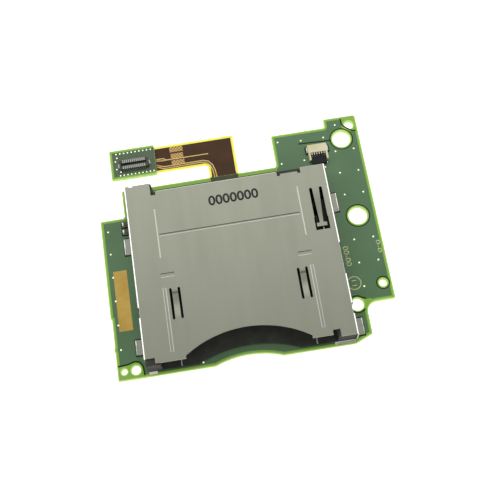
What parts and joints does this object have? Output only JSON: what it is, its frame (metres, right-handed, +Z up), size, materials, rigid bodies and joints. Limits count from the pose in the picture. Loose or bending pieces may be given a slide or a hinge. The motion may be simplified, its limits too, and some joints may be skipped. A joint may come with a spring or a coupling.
{
  "type": "game card slot",
  "caption": "Sprung game card slot under a folded steel shell on a rigid-flex board, with a flip-lock film connector and a flexible tail.",
  "frame": {"origin": "centre of the part's bounding box at the underside of the main board", "axes": "+X to the right across the slot, +Y from the card mouth to the rear, +Z up from the board"},
  "size_m": [0.055, 0.0482, 0.006],
  "materials": {
    "solder_mask": "green solder mask on glass epoxy",
    "flex_coverlay": "brown polyimide film",
    "link_plastic": "moulded black",
    "tin": "tin plated",
    "steel": "cold rolled stainless sheet",
    "base_plastic": "moulded black",
    "gold": "gold plated copper alloy",
    "slider_plastic": "moulded dark brown",
    "spring_steel": "bright spring wire",
    "lock_plastic": "moulded cream",
    "lever_plastic": "moulded black",
    "ceramic": "brown ceramic"
  },
  "bodies": {
    "frame": {"board": "solder_mask", "connector_board": "solder_mask", "flex_tail": "flex_coverlay", "link_housing": "link_plastic", "link_nail_left": "tin", "link_nail_right": "tin", "base": "base_plastic", "hold_down_left": "tin", "hold_down_right": "tin", "shell": "steel", "eject_spring": "spring_steel", "lock_housing": "lock_plastic", "lock_nail_left": "tin", "lock_nail_right": "tin", "chip_capacitor_1": "ceramic", "chip_capacitor_2": "ceramic", "contact_01": "gold", "contact_02": "gold", "contact_03": "gold", "contact_04": "gold", "contact_05": "gold", "contact_06": "gold", "contact_07": "gold", "contact_08": "gold", "contact_09": "gold", "contact_10": "gold", "contact_11": "gold", "contact_12": "gold", "contact_13": "gold", "contact_14": "gold", "contact_15": "gold", "contact_16": "gold", "contact_17": "gold", "lock_contact_1": "gold", "lock_contact_2": "gold", "lock_contact_3": "gold", "lock_contact_4": "gold", "lock_contact_5": "gold", "lock_contact_6": "gold"},
    "slider": {"slider": "slider_plastic"},
    "cam_pin": {"cam_pin": "spring_steel"},
    "lever": {"lock_lever": "lever_plastic"}
  },
  "joints": [
    {"name": "slider_slide", "type": "slide", "parent": "frame", "child": "slider", "axis": [0, 1, 0], "range_m": [0, 0.0036], "stiffness_N_per_m": 120, "deforming": ["eject_spring"]},
    {"name": "cam_pin_swing", "type": "hinge", "parent": "frame", "child": "cam_pin", "pos_m": [0.01656, -0.01214, 0.00483], "axis": [0, 0, -1], "range_deg": [0, 4.9]},
    {"name": "lever_flip", "type": "hinge", "parent": "frame", "child": "lever", "pos_m": [0.01835, 0.01594, 0.00137], "axis": [-1, 0, 0], "range_deg": [0, 90]}
  ],
  "couplings": [
    {"joint": "cam_pin_swing", "follows": "slider_slide", "rad_per_m": 23.54}
  ]
}
